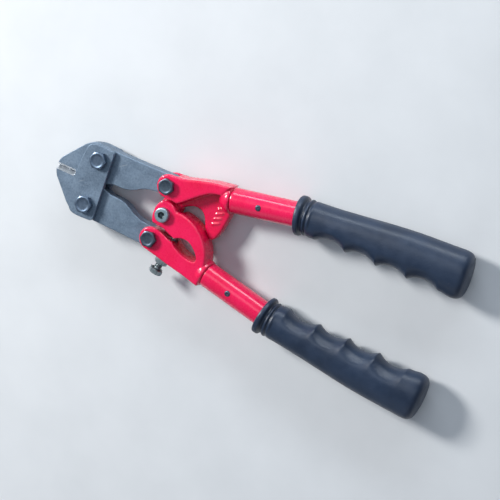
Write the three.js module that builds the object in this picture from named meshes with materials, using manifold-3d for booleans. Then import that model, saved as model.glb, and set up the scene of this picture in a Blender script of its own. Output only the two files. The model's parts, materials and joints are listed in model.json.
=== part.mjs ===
// Compound-lever hand cutter, 350 mm class.
// Two short forged jaws sit between two head plates. Each jaw's tail is held in the fork of a cast lever,
// the two levers turn about one centre bolt, and each lever carries a steel tube with a moulded grip.
//
// Working frame, in millimetres: the centre bolt stands at the origin, the jaws point toward -X, the grips
// toward +X, the upper lever is on the +Y side, and Z = 0 is the middle plane of the jaws.
// The finished group is moved so that its origin is the middle of the footprint, at the resting plane.

import * as THREE from 'three';
import { mergeVertices } from 'three/addons/utils/BufferGeometryUtils.js';
import Module from 'manifold-3d';

const wasm = await Module();
wasm.setup();

// ---------------------------------------------------------------- driving dimensions

const NOSE_X = -102.3;
const GRIP_END_X = 247.7;
const REST_Z = -16;
const GAP = 0.3;

const JAW_PIVOT = new THREE.Vector2(-66.8, 19.2);
const LINK_PIVOT = new THREE.Vector2(-4.4, 22.8);
const CENTRE_PIVOT = new THREE.Vector2(0, 0);

const JAW_HALF_THICKNESS = 5;
const SEAT_Z = 9.5;
const FORK_HALF_WIDTH = JAW_HALF_THICKNESS + GAP;
const TAIL_EYE_RADIUS = 8.7;
const BOSS_RADIUS = 9.7;
const LAP_EYE_RADIUS = 11.5;
const SLAB_EYE_RADIUS = 9.2;
const LAP_RELIEF_RADIUS = 13.8;
const LOWER_BACK_RADIUS = 35;

const SHANK_RADIUS = 4;
const SHANK_HOLE_RADIUS = SHANK_RADIUS + GAP;
const CENTRE_SLACK_RADIUS = 6;
const JAW_HEX = 13;
const LINK_HEX = 12;
const HEAD_HEIGHT = 4.2;
const WASHER_RADIUS = 7;
const CENTRE_WASHER_RADIUS = 9;
const WASHER_THICKNESS = 1.4;
const CENTRE_HEAD_RADIUS = 6.1;
const CENTRE_HEAD_HEIGHT = 4;
const CENTRE_KEY = 5;
const CENTRE_KEY_DEPTH = 2.6;

const LEVER_END = new THREE.Vector2(48.5, 32.3);
const TUBE_ANGLE = THREE.MathUtils.degToRad(11);
const TUBE_RADIUS = 10.3;
const TUBE_BORE_RADIUS = 8.7;
const SPIGOT_RADIUS = TUBE_BORE_RADIUS - GAP;
const SPIGOT_LENGTH = 34;
const SOCKET_RADIUS = 11.4;
const PIN_STATION = 25;
const PIN_RADIUS = 2.5;

const GRIP_END = new THREE.Vector2(GRIP_END_X, 52.6);
const GRIP_START = 56;
const FLANGE_RADIUS = -REST_Z;
const GROOVE_COUNT = 4;
const GROOVE_PITCH = 26.5;
const GROOVE_DEPTH = 4;
const FIRST_GROOVE = 19;
const STEPS_PER_GROOVE = 6;
const COLLAR_END = 11.2;
const TUBE_SET_BACK = 12;
const GRIP_END_WALL = 9;
const GRIP_FIT = 0.6;
const BEND_REACH = 6;

const ADJUSTER_TIP = new THREE.Vector2(13.2, -15.0);
const ADJUSTER_ANGLE = THREE.MathUtils.degToRad(12.2);
const ADJUSTER_RADIUS = 3;
const ADJUSTER_HEX = 10;
const LIMB_FACE_STATION = 20.9;
const THROUGH = 15;

const CURVE_SEGMENTS = 7;
const ROUND_SEGMENTS = 20;
const BODY_SEGMENTS = 20;
const SHANK_SEGMENTS = 12;

// ---------------------------------------------------------------- solids and booleans

function toSolid(geometry) {
  const bare = geometry.clone();
  bare.deleteAttribute('normal');
  bare.deleteAttribute('uv');
  const merged = mergeVertices(bare, 1e-4);
  const corners = Array.from(merged.index.array);
  const triangles = [];
  for (let i = 0; i < corners.length; i += 3) {
    const [a, b, c] = corners.slice(i, i + 3);
    if (a !== b && b !== c && c !== a) triangles.push(a, b, c);
  }
  const vertProperties = new Float32Array(merged.attributes.position.array);
  const triVerts = new Uint32Array(triangles);
  return new wasm.Manifold(new wasm.Mesh({ numProp: 3, vertProperties, triVerts }));
}

function toGeometry(solid) {
  const mesh = solid.getMesh();
  const geometry = new THREE.BufferGeometry();
  geometry.setAttribute('position', new THREE.BufferAttribute(new Float32Array(mesh.vertProperties), 3));
  geometry.setIndex(new THREE.BufferAttribute(new Uint32Array(mesh.triVerts), 1));
  geometry.computeVertexNormals();
  return geometry;
}

function join(...geometries) {
  return toGeometry(geometries.map(toSolid).reduce((sum, next) => sum.add(next)));
}

function cut(body, ...tools) {
  return toGeometry(tools.map(toSolid).reduce((rest, tool) => rest.subtract(tool), toSolid(body)));
}

function common(a, b) {
  return toGeometry(toSolid(a).intersect(toSolid(b)));
}

// The same piece reflected across the middle plane of an axis, with its faces turned right way out.
function reflected(geometry, axis) {
  const copy = mergeVertices(geometry.clone());
  const scale = { x: 1, y: 1, z: 1, [axis]: -1 };
  copy.scale(scale.x, scale.y, scale.z);
  const index = copy.index.array;
  for (let i = 0; i < index.length; i += 3) {
    [index[i], index[i + 1]] = [index[i + 1], index[i]];
  }
  copy.computeVertexNormals();
  return copy;
}

// ---------------------------------------------------------------- basic forms

function polygon(points) {
  return new THREE.Shape(points.map(([x, y]) => new THREE.Vector2(x, y)));
}

function prism(shape, zLow, zHigh, chamfer = 0) {
  const geometry = new THREE.ExtrudeGeometry(shape, {
    depth: zHigh - zLow - 2 * chamfer,
    steps: 1,
    curveSegments: CURVE_SEGMENTS,
    bevelEnabled: chamfer > 0,
    bevelThickness: chamfer,
    bevelSize: chamfer,
    bevelOffset: -chamfer,
    bevelSegments: 1,
  });
  return geometry.translate(0, 0, zLow + chamfer);
}

// A round body about a vertical axis: the profile is a list of [radius, z], bottom to top.
function turned(profile, at, segments = ROUND_SEGMENTS) {
  const geometry = new THREE.LatheGeometry(profile.map(([r, z]) => new THREE.Vector2(r, z)), segments);
  return geometry.rotateX(Math.PI / 2).translate(at.x, at.y, 0);
}

function disc(at, radius, zLow, zHigh, segments = ROUND_SEGMENTS) {
  return turned([[0, zLow], [radius, zLow], [radius, zHigh], [0, zHigh]], at, segments);
}

function ring(at, inner, outer, zLow, zHigh) {
  return turned([[inner, zLow], [outer, zLow], [outer, zHigh], [inner, zHigh], [inner, zLow]], at);
}

function hexPrism(at, acrossFlats, zLow, zHigh) {
  const corner = acrossFlats / Math.sqrt(3);
  const geometry = new THREE.CylinderGeometry(corner, corner, zHigh - zLow, 6);
  return geometry.rotateX(Math.PI / 2).translate(at.x, at.y, (zLow + zHigh) / 2);
}

// A hexagon whose corners are turned down by a cone at each end.
function chamferedHex(at, acrossFlats, zLow, zHigh) {
  const corner = acrossFlats / Math.sqrt(3) + 0.1;
  const face = acrossFlats / 2;
  const drop = (corner - face) * 0.6;
  const cone = turned([[0, zLow], [face, zLow], [corner, zLow + drop], [corner, zHigh - drop],
    [face, zHigh], [0, zHigh]], at);
  return common(hexPrism(at, acrossFlats, zLow, zHigh), cone);
}

// ---------------------------------------------------------------- fasteners

// Hexagon-headed pivot bolt: head above the seat, shank down into the nut.
function pivotBolt(at, hex) {
  const headLow = SEAT_Z + GAP;
  const head = chamferedHex(at, hex, headLow, headLow + HEAD_HEIGHT);
  const tip = REST_Z + GAP;
  const shank = turned([[0, tip], [SHANK_RADIUS - 0.6, tip], [SHANK_RADIUS, tip + 0.6],
    [SHANK_RADIUS, headLow + 1], [0, headLow + 1]], at, SHANK_SEGMENTS);
  return join(head, shank);
}

// Round-headed centre bolt with a hexagon socket.
function centreBolt(at) {
  const headLow = SEAT_Z + GAP;
  const headTop = headLow + CENTRE_HEAD_HEIGHT;
  const tip = REST_Z + GAP;
  const body = turned([[0, tip], [SHANK_RADIUS - 0.6, tip], [SHANK_RADIUS, tip + 0.6],
    [SHANK_RADIUS, headLow], [CENTRE_HEAD_RADIUS, headLow], [CENTRE_HEAD_RADIUS, headTop - 0.9],
    [CENTRE_HEAD_RADIUS - 0.9, headTop], [0, headTop]], at);
  return cut(body, hexPrism(at, CENTRE_KEY, headTop - CENTRE_KEY_DEPTH, headTop + 1));
}

function washer(at, outer) {
  const top = -SEAT_Z - GAP;
  return ring(at, SHANK_HOLE_RADIUS, outer, top - WASHER_THICKNESS, top);
}

function nut(at, hex) {
  const top = -SEAT_Z - WASHER_THICKNESS - 2 * GAP;
  return cut(chamferedHex(at, hex, REST_Z, top), disc(at, SHANK_HOLE_RADIUS, REST_Z - 1, 0, SHANK_SEGMENTS));
}

// ---------------------------------------------------------------- head

// Upper jaw, seen from above: blunt wedge nose, cutting edge on the centre line, arm and tail eye behind.
function jawOutline() {
  const shape = new THREE.Shape();
  shape.moveTo(NOSE_X, 0.2);
  shape.lineTo(NOSE_X, 2.6);
  shape.quadraticCurveTo(-101.8, 6.2, -99.2, 9.4);
  shape.lineTo(-85.6, 24.6);
  shape.quadraticCurveTo(-79.8, 30.9, -72.0, 31.2);
  shape.lineTo(-60.0, 30.2);
  shape.lineTo(-30.0, 30.6);
  shape.lineTo(LINK_PIVOT.x, LINK_PIVOT.y + TAIL_EYE_RADIUS);
  shape.absarc(LINK_PIVOT.x, LINK_PIVOT.y, TAIL_EYE_RADIUS, Math.PI / 2, -Math.PI / 2, true);
  shape.bezierCurveTo(-16, 14.1, -22, 13.4, -29, 9.0);
  shape.quadraticCurveTo(-36, 4.6, -44, 4.5);
  shape.lineTo(-50, 4.4);
  shape.lineTo(-60, 1.3);
  shape.lineTo(-68, 0.7);
  shape.lineTo(-84, 0.7);
  shape.lineTo(-84.8, 0.2);
  return shape;
}

// One of the two ground bevels of a cutting edge, as the wedge of metal taken away above it.
function bevelTool() {
  const wedge = polygon([[-1, -1.14], [3.37, 5.92], [-1, 5.92]]);
  const length = 19;
  const geometry = new THREE.ExtrudeGeometry(wedge, { depth: length, steps: 1, bevelEnabled: false });
  const toFrame = new THREE.Matrix4().makeBasis(
    new THREE.Vector3(0, 1, 0), new THREE.Vector3(0, 0, 1), new THREE.Vector3(1, 0, 0));
  return geometry.applyMatrix4(toFrame).translate(NOSE_X - 1.2, 0, 0);
}

function jaw() {
  const blank = prism(jawOutline(), -JAW_HALF_THICKNESS, JAW_HALF_THICKNESS, 0.8);
  const bevel = bevelTool();
  return cut(blank, bevel, reflected(bevel, 'z'),
    disc(JAW_PIVOT, SHANK_HOLE_RADIUS, -THROUGH, THROUGH, SHANK_SEGMENTS),
    disc(LINK_PIVOT, SHANK_HOLE_RADIUS, -THROUGH, THROUGH, SHANK_SEGMENTS));
}

// Head plate: straight rear edge, sides that follow the jaws, bowed front edge behind the slit.
function headPlate() {
  const shape = new THREE.Shape();
  shape.moveTo(-56.2, -27);
  shape.lineTo(-56.2, 27);
  shape.quadraticCurveTo(-56.2, 30, -59.2, 30.3);
  shape.lineTo(-68, 30.7);
  shape.bezierCurveTo(-74.6, 31, -79.1, 29.8, -80.2, 25.2);
  shape.quadraticCurveTo(-85.8, 0, -80.2, -25.2);
  shape.bezierCurveTo(-79.1, -29.8, -74.6, -31, -68, -30.7);
  shape.lineTo(-59.2, -30.3);
  shape.quadraticCurveTo(-56.2, -30, -56.2, -27);
  const lowerPivot = new THREE.Vector2(JAW_PIVOT.x, -JAW_PIVOT.y);
  return cut(prism(shape, FORK_HALF_WIDTH, SEAT_Z, 0.8),
    disc(JAW_PIVOT, SHANK_HOLE_RADIUS, 0, THROUGH, SHANK_SEGMENTS),
    disc(lowerPivot, SHANK_HOLE_RADIUS, 0, THROUGH, SHANK_SEGMENTS));
}

// ---------------------------------------------------------------- cast levers

// Space that a jaw's tail needs in the fork, from closed to fully open, in the upper lever's place.
function forkSpace() {
  const radius = TAIL_EYE_RADIUS + 0.6;
  const reach = 30;
  const lowest = -Math.PI / 2;
  const highest = THREE.MathUtils.degToRad(42.5);
  const point = (angle, distance, along, length) => [
    LINK_PIVOT.x + distance * Math.cos(angle) + length * Math.cos(along),
    LINK_PIVOT.y + distance * Math.sin(angle) + length * Math.sin(along),
  ];
  const shape = new THREE.Shape();
  shape.moveTo(...point(lowest, radius, 0, 0));
  shape.lineTo(...point(lowest, radius, Math.PI, reach));
  shape.lineTo(...point(0, 0, THREE.MathUtils.degToRad(160), reach + 8));
  shape.lineTo(...point(highest, radius, highest + Math.PI / 2, reach));
  shape.lineTo(...point(highest, radius, 0, 0));
  shape.absarc(LINK_PIVOT.x, LINK_PIVOT.y, radius, highest, lowest, true);
  return prism(shape, -FORK_HALF_WIDTH, FORK_HALF_WIDTH);
}

// Socket and spigot that carry the tube, turned about the tube's own line.
function socket() {
  const profile = [[0, -11], [5.5, -10.2], [9, -7.4], [10.9, -4], [SOCKET_RADIUS, -2.2], [SOCKET_RADIUS, -1],
    [SOCKET_RADIUS - 1, 0], [SPIGOT_RADIUS, 0], [SPIGOT_RADIUS, SPIGOT_LENGTH - 1],
    [SPIGOT_RADIUS - 1, SPIGOT_LENGTH], [0, SPIGOT_LENGTH]];
  return alongTube(new THREE.LatheGeometry(profile.map(([r, s]) => new THREE.Vector2(r, s)), ROUND_SEGMENTS));
}

// Puts a body drawn along +Y at the end of the upper lever, pointing out along the tube.
function alongTube(geometry) {
  return geometry.rotateZ(TUBE_ANGLE - Math.PI / 2).translate(LEVER_END.x, LEVER_END.y, 0);
}

function tubePoint(station) {
  return new THREE.Vector2(Math.cos(TUBE_ANGLE), Math.sin(TUBE_ANGLE)).multiplyScalar(station).add(LEVER_END);
}

function linkBoss() {
  const edge = SEAT_Z - 1;
  return turned([[0, -SEAT_Z], [BOSS_RADIUS - 1, -SEAT_Z], [BOSS_RADIUS, -edge], [BOSS_RADIUS, edge],
    [BOSS_RADIUS - 1, SEAT_Z], [0, SEAT_Z]], LINK_PIVOT);
}

// Raised limb of the upper lever, from the link boss to the socket.
function upperLimb() {
  const shape = new THREE.Shape();
  shape.moveTo(-6, 13.2);
  shape.lineTo(7.5, 12.4);
  shape.bezierCurveTo(15, 17.5, 21, 24.5, 29.5, 30);
  shape.quadraticCurveTo(34, 32.8, 41, 33.5);
  shape.lineTo(46.2, 43.0);
  shape.lineTo(30.7, 40.6);
  shape.lineTo(17.3, 37.0);
  shape.quadraticCurveTo(8.5, 33.9, 4, 33.2);
  shape.lineTo(-3.6, 32.4);
  return prism(shape, -SEAT_Z, SEAT_Z, 1);
}

// Stop wing and lap eye of the upper lever: one slab in the lower half of the thickness.
function upperSlab() {
  const shape = new THREE.Shape();
  shape.moveTo(-SLAB_EYE_RADIUS, 0);
  shape.quadraticCurveTo(-9.4, 7, -6.4, 13.6);
  shape.lineTo(10, 20);
  shape.lineTo(36, 36);
  shape.lineTo(47.5, 34);
  shape.lineTo(50.2, 20.4);
  shape.lineTo(49.3, 14);
  shape.lineTo(47.5, 4.2);
  shape.lineTo(44.8, -2.2);
  shape.quadraticCurveTo(42.6, -6.4, 39.9, -5.4);
  shape.quadraticCurveTo(36.0, -2.6, 33.2, 1.9);
  shape.bezierCurveTo(31.5, 7.2, 29.2, 13.9, 22.4, 14.4);
  shape.quadraticCurveTo(16.5, 14.6, 9.6, 8.9);
  shape.quadraticCurveTo(9.3, 5, SLAB_EYE_RADIUS, 0);
  shape.absarc(0, 0, SLAB_EYE_RADIUS, 0, -Math.PI, true);
  return prism(shape, -SEAT_Z, -0.2, 1);
}

// Plain raised bars on the stop wing.
function wingRibs() {
  return [0, 1, 2, 3].map((row) => {
    const bar = new THREE.BoxGeometry(6.4, 1.3, 1.4);
    return bar.rotateZ(TUBE_ANGLE + 0.25).translate(41.8 - 0.25 * row, 21.5 - 4.4 * row, -0.2);
  });
}

function upperLever() {
  const body = join(linkBoss(), upperLimb(), upperSlab(), socket(), ...wingRibs());
  return cut(body, forkSpace(),
    disc(CENTRE_PIVOT, LAP_RELIEF_RADIUS, -0.2, THROUGH),
    disc(LINK_PIVOT, SHANK_HOLE_RADIUS, -THROUGH, THROUGH, SHANK_SEGMENTS),
    disc(CENTRE_PIVOT, CENTRE_SLACK_RADIUS, -THROUGH, THROUGH, SHANK_SEGMENTS),
    pinHole());
}

// Outline of the lower lever, drawn on the upper side: lap eye, curved back, limb and boss side.
function lowerOutline() {
  const eyeFrom = THREE.MathUtils.degToRad(-116);
  const eyeTo = THREE.MathUtils.degToRad(-38);
  const back = new THREE.Vector2(12, 28.6);
  const backFrom = -Math.PI / 2 - 0.05;
  const backTo = THREE.MathUtils.degToRad(-4);
  const shape = new THREE.Shape();
  shape.moveTo(-9.3, 2.5);
  shape.lineTo(-9.0, -2);
  shape.quadraticCurveTo(-8, -7.4, LAP_EYE_RADIUS * Math.cos(eyeFrom), LAP_EYE_RADIUS * Math.sin(eyeFrom));
  shape.absarc(0, 0, LAP_EYE_RADIUS, eyeFrom, eyeTo, false);
  shape.absarc(back.x, back.y, LOWER_BACK_RADIUS, backFrom, backTo, false);
  shape.lineTo(46.2, 43.0);
  shape.lineTo(30.7, 39.4);
  shape.lineTo(17.3, 37.0);
  shape.lineTo(4.8, 34.3);
  shape.lineTo(-4.4, 32.5);
  shape.lineTo(-4.4, 13);
  shape.quadraticCurveTo(-8.8, 9, -9.3, 2.5);
  return shape;
}

// Slot that lets the lap eye be sprung by the adjusting bolt.
function adjusterSlot() {
  const shape = new THREE.Shape();
  shape.moveTo(-14, 9.4);
  shape.lineTo(-1, 9.4);
  shape.bezierCurveTo(6, 10.2, 8, 13.2, 17, 14.9);
  shape.lineTo(17, 18.6);
  shape.bezierCurveTo(8, 17.4, 5, 13.6, -1, 13.2);
  shape.lineTo(-4.4, 13.1);
  shape.lineTo(-14, 13.1);
  return prism(shape, -THROUGH, THROUGH);
}

function leverWindow() {
  const shape = new THREE.Shape();
  shape.moveTo(15, 14.6);
  shape.quadraticCurveTo(20, 11.2, 25, 11.6);
  shape.quadraticCurveTo(30, 12.2, 34.6, 17);
  shape.quadraticCurveTo(38.8, 21.2, 38.4, 23.8);
  shape.quadraticCurveTo(37.4, 26.4, 33, 26);
  shape.quadraticCurveTo(26, 25.2, 20.6, 22.4);
  shape.quadraticCurveTo(16, 20.2, 15, 18.2);
  return prism(shape, -THROUGH, THROUGH);
}

function lowerLever() {
  const body = join(linkBoss(), prism(lowerOutline(), -SEAT_Z, SEAT_Z, 1), socket());
  const onUpperSide = cut(body, forkSpace(), adjusterSlot(), leverWindow(),
    disc(CENTRE_PIVOT, LAP_RELIEF_RADIUS, -THROUGH, 0.2),
    disc(LINK_PIVOT, SHANK_HOLE_RADIUS, -THROUGH, THROUGH, SHANK_SEGMENTS),
    disc(CENTRE_PIVOT, SHANK_HOLE_RADIUS, -THROUGH, THROUGH, SHANK_SEGMENTS),
    pinHole());
  const hole = adjusterBody([[0, 0.8], [ADJUSTER_RADIUS + GAP, 0.8], [ADJUSTER_RADIUS + GAP, 40], [0, 40]]);
  return cut(reflected(onUpperSide, 'y'), hole);
}

// ---------------------------------------------------------------- adjusting bolt

// A round body along the adjusting bolt, drawn from its tip outward.
function adjusterBody(profile, segments = SHANK_SEGMENTS) {
  const geometry = new THREE.LatheGeometry(profile.map(([r, s]) => new THREE.Vector2(r, s)), segments);
  return toAdjuster(geometry);
}

function toAdjuster(geometry) {
  return geometry.rotateZ(Math.PI - ADJUSTER_ANGLE).translate(ADJUSTER_TIP.x, ADJUSTER_TIP.y, 0);
}

function adjusterHex(acrossFlats, from, to) {
  const corner = acrossFlats / Math.sqrt(3);
  const geometry = new THREE.CylinderGeometry(corner, corner, to - from, 6).translate(0, (from + to) / 2, 0);
  return toAdjuster(geometry);
}

function adjustingBolt() {
  const headFrom = LIMB_FACE_STATION + 10.4;
  const shank = adjusterBody([[0, 0.3], [2.2, 0.3], [ADJUSTER_RADIUS, 1.2], [ADJUSTER_RADIUS, headFrom + 1],
    [0, headFrom + 1]]);
  return join(shank, adjusterHex(ADJUSTER_HEX, headFrom, headFrom + HEAD_HEIGHT));
}

function adjusterNut() {
  const from = LIMB_FACE_STATION + GAP;
  const bore = adjusterBody([[0, 0], [ADJUSTER_RADIUS + GAP, 0], [ADJUSTER_RADIUS + GAP, 40], [0, 40]]);
  return cut(adjusterHex(ADJUSTER_HEX, from, from + 4.8), bore);
}

// ---------------------------------------------------------------- tubes, pins and grips

function pinHole() {
  return disc(tubePoint(PIN_STATION), PIN_RADIUS + GAP, -THROUGH, THROUGH, SHANK_SEGMENTS);
}

function tubePin() {
  const reach = TUBE_RADIUS + 0.5;
  const at = tubePoint(PIN_STATION);
  const edge = PIN_RADIUS - 0.5;
  return turned([[0, -reach], [edge, -reach], [PIN_RADIUS, -reach + 0.5], [PIN_RADIUS, reach - 0.5],
    [edge, reach], [0, reach]], at, SHANK_SEGMENTS);
}

// Centre line of the handle: straight along the socket, a small bend at the grip's flange, then straight.
function handleLine(fromStation, setBack) {
  const start = tubePoint(fromStation);
  const bendStart = tubePoint(GRIP_START);
  const corner = tubePoint(GRIP_START + BEND_REACH);
  const run = GRIP_END.clone().sub(corner).normalize();
  const bendEnd = corner.clone().addScaledVector(run, BEND_REACH);
  const end = GRIP_END.clone().addScaledVector(run, -setBack);
  const raise = (p) => new THREE.Vector3(p.x, p.y, 0);
  const line = new THREE.CurvePath();
  line.add(new THREE.LineCurve3(raise(start), raise(bendStart)));
  line.add(new THREE.QuadraticBezierCurve3(raise(bendStart), raise(corner), raise(bendEnd)));
  line.add(new THREE.LineCurve3(raise(bendEnd), raise(end)));
  return line;
}

// A body turned about +Y, its profile a list of [radius, station], laid along a line in the plane.
// shapeAcross may widen it sideways: it takes the station, the radius and the side, and gives a factor.
function turnedAlong(line, profile, shapeAcross = () => 1) {
  const geometry = new THREE.LatheGeometry(profile.map(([r, s]) => new THREE.Vector2(r, s)), BODY_SEGMENTS);
  geometry.deleteAttribute('uv');
  geometry.deleteAttribute('normal');
  const body = mergeVertices(geometry);
  const length = line.getLength();
  const vertices = body.attributes.position;
  for (let i = 0; i < vertices.count; i += 1) {
    const across = vertices.getX(i);
    const station = vertices.getY(i);
    const up = vertices.getZ(i);
    const u = THREE.MathUtils.clamp(station / length, 0, 1);
    const at = line.getPointAt(u);
    const run = line.getTangentAt(u);
    const reach = across * shapeAcross(station, Math.hypot(across, up), across);
    vertices.setXYZ(i, at.x + reach * run.y, at.y - reach * run.x, up);
  }
  body.computeVertexNormals();
  return body;
}

function tube() {
  const line = handleLine(GAP, TUBE_SET_BACK);
  const length = line.getLength();
  const bend = GRIP_START - GAP;
  const stations = [0, bend, bend + 3, bend + 6, bend + 9, bend + 12, length];
  const outside = stations.map((station) => [TUBE_RADIUS, station]);
  const inside = stations.map((station) => [TUBE_BORE_RADIUS, station]).reverse();
  return cut(turnedAlong(line, [...outside, ...inside, outside[0]]), pinHole());
}

// Half widths of the grip's body at a station measured from its flange face.
function gripBack(station) {
  return 14.2 + 5 * THREE.MathUtils.smoothstep(station, 10, 105);
}

function gripFront(station) {
  const swell = 14.4 + 3.4 * THREE.MathUtils.smoothstep(station, 10, 110)
    + 1.6 * THREE.MathUtils.smoothstep(station, 126, 136);
  const along = (station - FIRST_GROOVE) / GROOVE_PITCH;
  if (along < 0 || along > GROOVE_COUNT) return swell;
  const phase = 2 * (along - Math.floor(along)) - 1;
  return swell - GROOVE_DEPTH * (1 - phase * phase);
}

function gripHalfThickness(station) {
  return 13.4 + 1.0 * THREE.MathUtils.smoothstep(station, 10, 90);
}

// Flange and ringed neck at the front of the grip, as [radius, station].
function gripCollar() {
  return [[15.2, 0], [FLANGE_RADIUS, 0.8], [FLANGE_RADIUS, 4.2], [15.2, 5], [13.2, 5.6], [13.2, 7.4],
    [14.4, 8], [14.4, 10.6], [13.6, COLLAR_END]];
}

function gripBody(length) {
  const steps = GROOVE_COUNT * STEPS_PER_GROOVE;
  const step = GROOVE_PITCH / STEPS_PER_GROOVE;
  const grooves = Array.from({ length: steps + 1 }, (_, i) => FIRST_GROOVE + i * step);
  const cap = [[1, length - 10], [0.985, length - 5], [0.93, length - 2], [0.8, length - 0.6]];
  return [...[15, ...grooves].map((station) => [1, station]), ...cap]
    .map(([factor, station]) => [factor * gripHalfThickness(station), station]);
}

// Moulded grip: a turned sleeve over the tube, widened sideways to the hand's shape.
function grip() {
  const line = handleLine(GRIP_START, 0);
  const length = line.getLength();
  const boreRadius = TUBE_RADIUS + GRIP_FIT;
  const bore = [length - GRIP_END_WALL, 12, 9, 6, 3, 0].map((station) => [boreRadius, station]);
  const widen = (station, radius, side) => {
    if (radius < boreRadius + 0.05 || station < COLLAR_END) return 1;
    return (side > 0 ? gripFront(station) : gripBack(station)) / gripHalfThickness(station);
  };
  const profile = [[0, length - GRIP_END_WALL], ...bore, ...gripCollar(), ...gripBody(length), [0, length]];
  return turnedAlong(line, profile, widen);
}

// ---------------------------------------------------------------- materials and assembly

function finish(color, roughness, metalness) {
  return () => new THREE.MeshStandardMaterial({ color, roughness, metalness });
}

const phosphatedSteel = finish(0x66727f, 0.5, 0.8);
const darkSteel = finish(0x4c5c63, 0.4, 0.9);
const redPaint = finish(0xe01030, 0.3, 0.1);
const blackGrip = finish(0x1b2028, 0.55, 0);

const tool = new THREE.Group();
tool.position.set(-(NOSE_X + GRIP_END_X) / 2, 0, -REST_Z);

function place(name, geometry, material) {
  const mesh = new THREE.Mesh(geometry, material());
  mesh.name = name;
  tool.add(mesh);
}

function bothSides(build) {
  return [['upper', 1], ['lower', -1]].forEach(([side, sign]) => build(side, sign));
}

const plate = headPlate();
place('head_plate_top', plate, phosphatedSteel);
place('head_plate_bottom', reflected(plate, 'z'), phosphatedSteel);

const jawBlank = jaw();
const handleTube = tube();
const handleGrip = grip();
const handlePin = tubePin();

bothSides((side, sign) => {
  const onSide = (geometry) => (sign > 0 ? geometry : reflected(geometry, 'y'));
  const jawPivot = new THREE.Vector2(JAW_PIVOT.x, sign * JAW_PIVOT.y);
  const linkPivot = new THREE.Vector2(LINK_PIVOT.x, sign * LINK_PIVOT.y);
  place(`jaw_${side}`, onSide(jawBlank), phosphatedSteel);
  place(`jaw_bolt_${side}`, pivotBolt(jawPivot, JAW_HEX), darkSteel);
  place(`jaw_washer_${side}`, washer(jawPivot, WASHER_RADIUS), darkSteel);
  place(`jaw_nut_${side}`, nut(jawPivot, JAW_HEX), darkSteel);
  place(`link_bolt_${side}`, pivotBolt(linkPivot, LINK_HEX), darkSteel);
  place(`link_washer_${side}`, washer(linkPivot, WASHER_RADIUS), darkSteel);
  place(`link_nut_${side}`, nut(linkPivot, LINK_HEX), darkSteel);
  place(`lever_${side}`, sign > 0 ? upperLever() : lowerLever(), redPaint);
  place(`tube_${side}`, onSide(handleTube), redPaint);
  place(`tube_pin_${side}`, onSide(handlePin), darkSteel);
  place(`grip_${side}`, onSide(handleGrip), blackGrip);
});

place('centre_bolt', centreBolt(CENTRE_PIVOT), darkSteel);
place('centre_washer', washer(CENTRE_PIVOT, CENTRE_WASHER_RADIUS), darkSteel);
place('centre_nut', nut(CENTRE_PIVOT, JAW_HEX), darkSteel);
place('adjusting_bolt', adjustingBolt(), darkSteel);
place('adjuster_lock_nut', adjusterNut(), darkSteel);

export default tool;
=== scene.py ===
import bisect
import json
import math

import bmesh
import bpy
from mathutils import Matrix, Vector


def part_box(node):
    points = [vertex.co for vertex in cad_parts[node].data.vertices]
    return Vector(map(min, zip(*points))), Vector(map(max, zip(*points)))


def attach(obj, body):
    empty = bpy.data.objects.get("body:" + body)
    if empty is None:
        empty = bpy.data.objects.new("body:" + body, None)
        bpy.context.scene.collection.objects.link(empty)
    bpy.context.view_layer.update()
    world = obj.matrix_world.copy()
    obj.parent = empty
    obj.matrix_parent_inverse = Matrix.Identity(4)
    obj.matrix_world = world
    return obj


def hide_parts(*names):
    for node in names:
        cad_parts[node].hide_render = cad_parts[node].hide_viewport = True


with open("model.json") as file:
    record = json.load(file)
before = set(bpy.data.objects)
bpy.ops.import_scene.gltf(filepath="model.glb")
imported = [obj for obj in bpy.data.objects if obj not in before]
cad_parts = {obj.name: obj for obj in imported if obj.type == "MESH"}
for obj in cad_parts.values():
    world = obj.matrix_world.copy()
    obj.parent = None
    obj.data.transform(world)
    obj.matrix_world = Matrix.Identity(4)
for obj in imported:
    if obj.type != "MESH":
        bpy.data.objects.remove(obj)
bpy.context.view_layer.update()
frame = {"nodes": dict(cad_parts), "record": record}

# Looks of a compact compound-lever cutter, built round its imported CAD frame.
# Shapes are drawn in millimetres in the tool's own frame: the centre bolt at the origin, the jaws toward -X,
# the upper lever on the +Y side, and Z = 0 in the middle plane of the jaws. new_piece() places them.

MM = 0.001
TAU = 2 * math.pi


# ---------------------------------------------------------------- places, from the frame

def middle(node):
    low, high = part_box(node)
    return (low + high) / 2


JOINTS = {joint["name"]: Vector(joint["pos_m"]) for joint in frame["record"]["behaviour"]["joints"]}
CENTRE = Vector((middle("centre_bolt").x, middle("centre_bolt").y, middle("jaw_upper").z))
REST_Z = -CENTRE.z / MM


def to_tool(point):
    return (point - CENTRE) / MM


JAW_PIVOT = to_tool(JOINTS["upper_jaw_hinge"]).xy
LINK_PIVOT = to_tool(JOINTS["upper_handle_swing"]).xy
PIN_AT = to_tool(middle("tube_pin_upper")).xy
NOSE_X = to_tool(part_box("jaw_upper")[0]).x

# Head. GAP is the clearance between pieces, SEAT_Z the face that bolt heads and washers sit on.
GAP = 0.3
SEAT_Z = 9.5
JAW_HALF = 5.0
JAW_ROUNDING = 0.55
JAW_EYE = 8.7
PLATE_LOW = JAW_HALF + GAP
PLATE_ROUNDING = 0.5

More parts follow.
